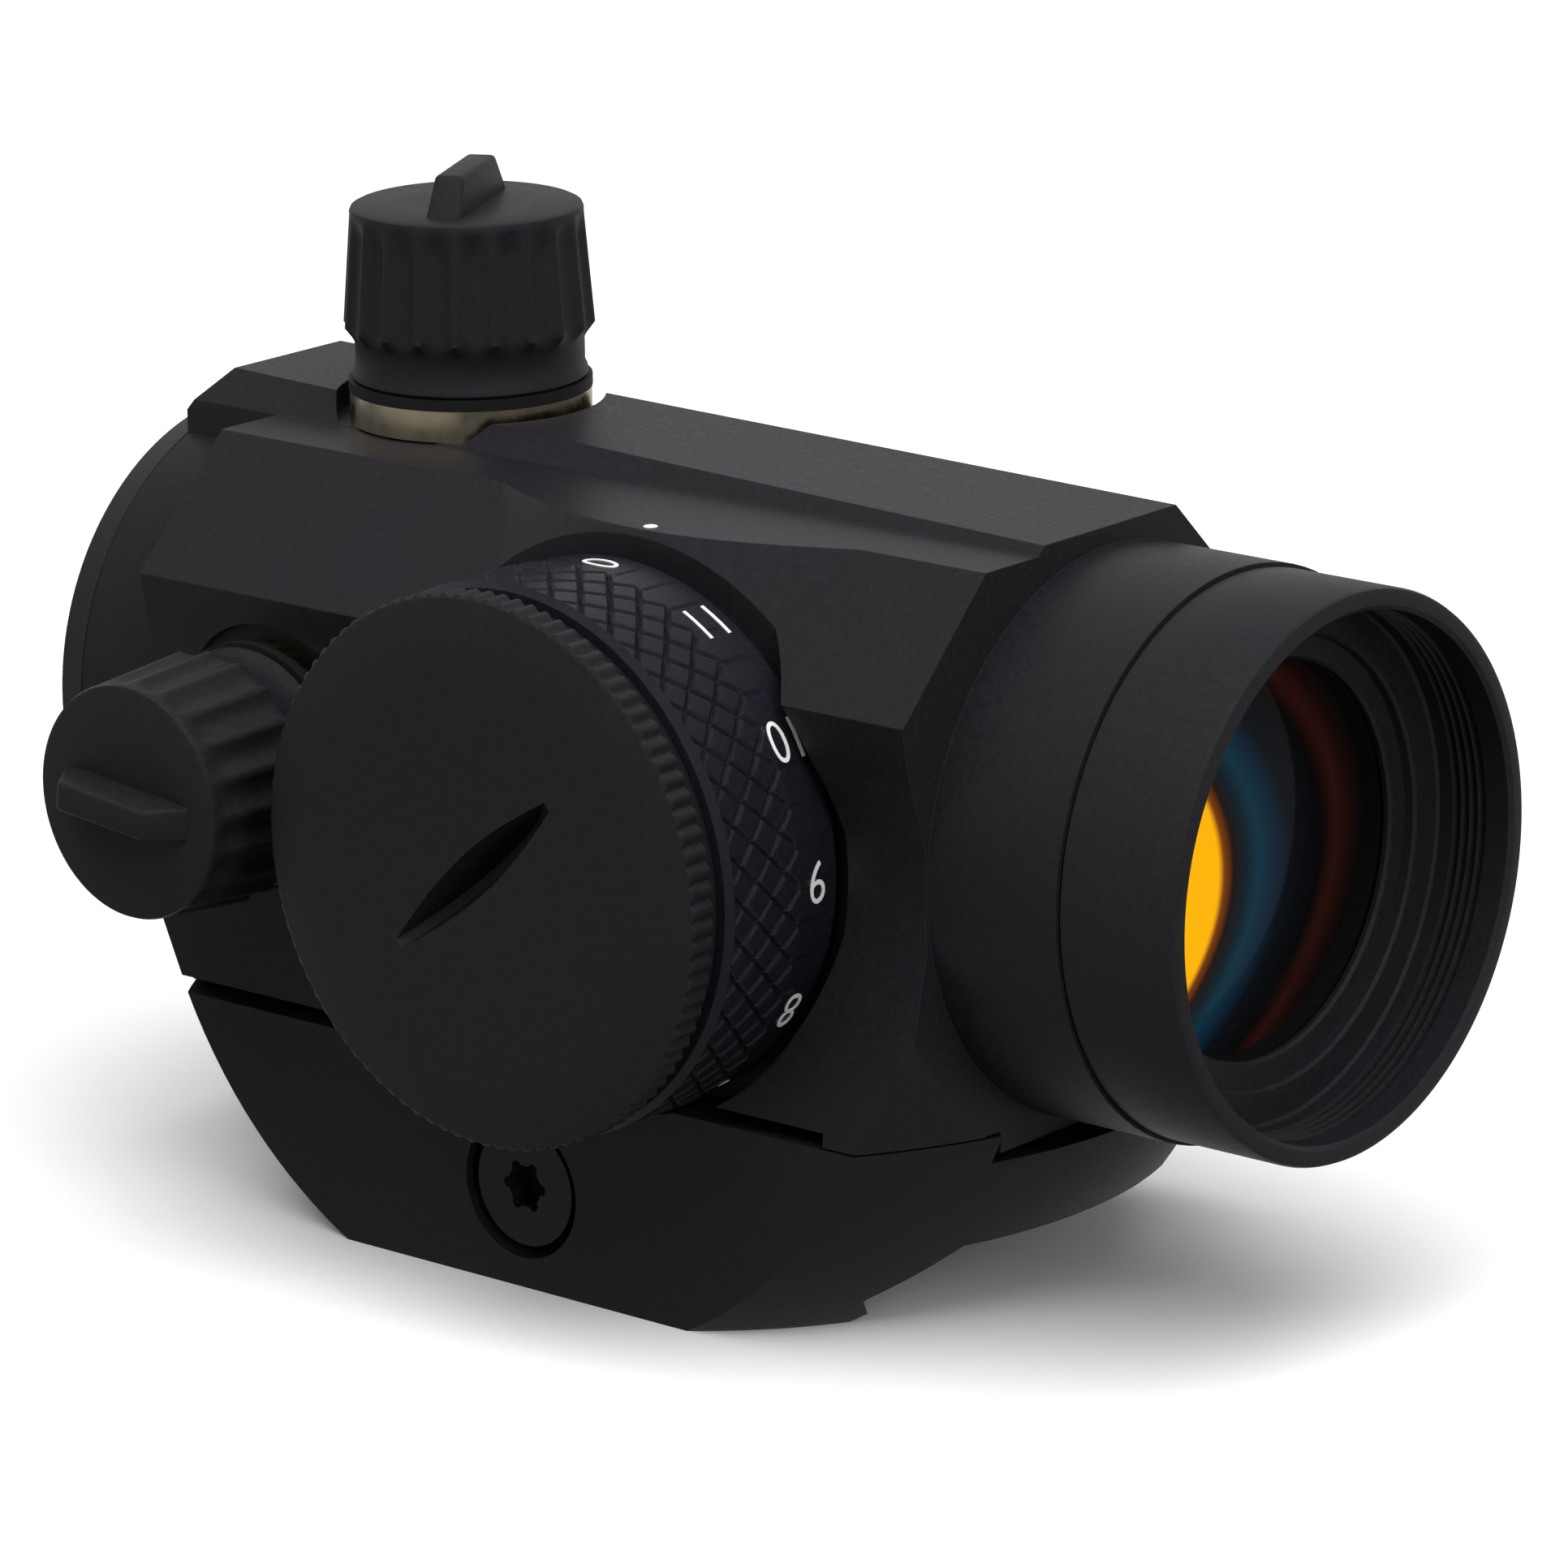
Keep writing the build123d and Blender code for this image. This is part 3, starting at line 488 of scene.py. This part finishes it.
# the coin slot is milled by a disc cutter with slanted flanks, so it runs out to a point at both ends
cutter_r, slot_depth, slot_turn = 10.0, 2.4, 41
cutter_profile = [(0.0, -1.3), (6.9, -1.3), (cutter_r, -0.25), (cutter_r, 0.25), (6.9, 1.3), (0.0, 1.3)]
cutter_bm = lathe(
    cutter_profile,
    96,
    outward_right
    @ Matrix.Rotation(math.radians(slot_turn), 4, "Z")
    @ Matrix.Translation((0, 0, (cap_high + cutter_r - slot_depth) / 1000))
    @ Matrix.Rotation(math.radians(90), 4, "X"),
)
cutter_mesh = bpy.data.meshes.new("slot_cutter")
cutter_bm.to_mesh(cutter_mesh)
cutter_bm.free()
cutter = bpy.data.objects.new("slot_cutter", cutter_mesh)
bpy.context.scene.collection.objects.link(cutter)
milled = battery_cap.modifiers.new("coin_slot", "BOOLEAN")
milled.operation = "DIFFERENCE"
milled.object = cutter
milled.solver = "EXACT"
bpy.context.view_layer.update()
cut_mesh = bpy.data.meshes.new_from_object(battery_cap.evaluated_get(bpy.context.evaluated_depsgraph_get()))
battery_cap.modifiers.clear()
battery_cap.data = cut_mesh
bpy.data.objects.remove(cutter)

# ---- Turret bushings, seals and caps
# Turned brass bushings in the recesses on top and on the right, with O-rings and fluted screw caps.
brass = new_material("turned_brass")
place = add_node(brass, "ShaderNodeTexCoord")
tool_marks = add_node(brass, "ShaderNodeTexNoise", Vector=(place, "Object"), Scale=1200.0, Detail=2.0)
brass_gloss = add_node(brass, "ShaderNodeMapRange", Value=(tool_marks, "Fac"), i1=0.3, i2=0.7, i3=0.2, i4=0.34)
surface(
    brass,
    add_node(
        brass,
        "ShaderNodeBsdfPrincipled",
        **{"Base_Color": linear("#f2e4c4"), "Metallic": 1.0, "Roughness": (brass_gloss, 0)},
    ),
)
rubber = new_material("black_nitrile_rubber")
surface(
    rubber,
    add_node(rubber, "ShaderNodeBsdfPrincipled", Base_Color=linear("#141414"), Roughness=0.6, IOR=1.5),
)
turret_x = -0.0223
over_tube = Matrix.Translation((turret_x, 0, axis_z))
beside_tube = Matrix.Translation((turret_x, 0, axis_z)) @ Matrix.Rotation(math.radians(90), 4, "X")
flutes = 20
for side, outward, tab_turn in (("elevation", over_tube, 26), ("windage", beside_tube, 84)):
    low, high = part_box(side + "_cap")
    top = (high.z - axis_z if side == "elevation" else -low.y) * 1000 - 1.7
    seat = (low.z - axis_z if side == "elevation" else -high.y) * 1000
    flute_low = top - 6.2
    flute_rows = [(6.45 - 0.45 * i / 14, flute_low + 0.05 + i * 5.6 / 14) for i in range(15)]
    cap_outline = (
        [(5.2, seat), (5.95, seat), (6.05, seat + 0.12), (6.0, seat + 0.4), (5.88, seat + 0.6)]
        + [(5.88, flute_low - 0.75)]
        + [(6.1, flute_low - 0.4)]
        + flute_rows
        + [(5.98, top - 0.3), (5.9, top - 0.1), (5.7, top), (3.0, top), (0.0, top)]
        + [(0.0, top - 1.3), (5.2, top - 1.3)]
    )
    bm = lathe(cap_outline, flutes * 16, Matrix.Identity(4))
    for vert in bm.verts:
        radius, height = vert.co.to_2d().length * 1000, vert.co.z * 1000
        if radius > 5.75 and flute_low - 0.1 < height < top - 0.2:
            phase = (math.atan2(vert.co.y, vert.co.x) / (2 * math.pi) * flutes) % 1.0 - 0.5
            scallop = max(0.0, 1 - (abs(phase) / 0.42) ** 2)
            share = min(1.0, (top - 0.3 - height) / 1.2)
            shrink = 1 - 0.36 * scallop * share / radius
            vert.co.x *= shrink
            vert.co.y *= shrink
    # the finger tab is a blade across the cap, narrower at its crest
    tab = bmesh.new()
    bmesh.ops.create_cube(tab, size=1.0)
    bmesh.ops.scale(tab, vec=(0.0019, 0.0088, 0.0022), verts=tab.verts)
    for vert in tab.verts:
        if vert.co.z > 0:
            vert.co.x *= 0.80
            vert.co.y *= 0.66
    bmesh.ops.bevel(
        tab,
        geom=list(tab.edges),
        offset=0.00022,
        offset_type="OFFSET",
        segments=3,
        profile=0.5,
        affect="EDGES",
        material=-1,
    )
    on_top = Matrix.Translation((0, 0, (top + 0.85) / 1000))
    tab.transform(on_top @ Matrix.Rotation(math.radians(tab_turn), 4, "Z"))
    tab_mesh = bpy.data.meshes.new("tab")
    tab.to_mesh(tab_mesh)
    tab.free()
    bm.from_mesh(tab_mesh)
    bpy.data.meshes.remove(tab_mesh)
    bm.transform(outward)
    cap = finish_mesh(bm, side + "_cap_fluted", side + "_cap_turn", cap_black, 35)
    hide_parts(side + "_cap")
    for node, finish in (("_bushing", brass), ("_screw", brass), ("_cap_seal", rubber)):
        nodes[side + node].data.materials.clear()
        nodes[side + node].data.materials.append(finish)

# ---- Rail mount
# The lower block with its fixed jaw, the moving jaw on the far side and the crossbolt between them.
mount = rounded_copy("mount_base", "mount_block", "sight", mount_black, 0.3)
jaw = rounded_copy("clamp_jaw", "moving_jaw", "jaw", mount_black, 0.3)

black_oxide = new_material("black_oxide_steel")
surface(
    black_oxide,
    add_node(black_oxide, "ShaderNodeBsdfPrincipled", Base_Color=linear("#3a3a3c"), Metallic=0.8, Roughness=0.38),
)
for name in ("crossbolt", "jaw_nut", "base_screws"):
    nodes[name].data.materials.clear()
    nodes[name].data.materials.append(black_oxide)

# ---- Inner pieces
# Flat black turned parts inside the tube, spring steel, the cell and its board.
spring_steel = new_material("bright_spring_steel")
surface(
    spring_steel,
    add_node(spring_steel, "ShaderNodeBsdfPrincipled", Base_Color=linear("#9c9ca0"), Metallic=1.0, Roughness=0.3),
)
flat_black = anodised("flat_black_inside", "#0e0e0e", 0.6, tint="#101010")
board = new_material("green_solder_mask")
surface(board, add_node(board, "ShaderNodeBsdfPrincipled", Base_Color=linear("#1d4a2a"), Roughness=0.4))
epoxy = new_material("red_epoxy")
surface(
    epoxy, add_node(epoxy, "ShaderNodeBsdfPrincipled", Base_Color=linear("#7a0c0c"), Roughness=0.1, IOR=1.5)
)
inner = {
    flat_black: ["cartridge_tube", "lens_retainer", "emitter_arm", "ocular_retainer", "gimbal_ring", "dial_hub"],
    spring_steel: ["elevation_plunger", "windage_plunger", "battery_contact", "detent_ball", "detent_spring",
                   "dial_retainer", "return_spring", "coin_cell"],
    board: ["circuit_board"],
    epoxy: ["led_emitter"],
    rubber: ["battery_cap_seal"],
}
for finish, names in inner.items():
    for name in names:
        nodes[name].data.materials.clear()
        nodes[name].data.materials.append(finish)

# ---- Index dot
# A spot of white paint on the shelf marks the dial's setting.
dot = bmesh.new()
bmesh.ops.create_uvsphere(dot, u_segments=24, v_segments=12, radius=0.00036)
bmesh.ops.scale(dot, vec=(1, 1, 0.15), verts=dot.verts)
bmesh.ops.translate(dot, vec=(0.0004, -0.0121, axis_z + 0.0147), verts=dot.verts)
index_dot = finish_mesh(dot, "index_dot", "sight", number_paint)
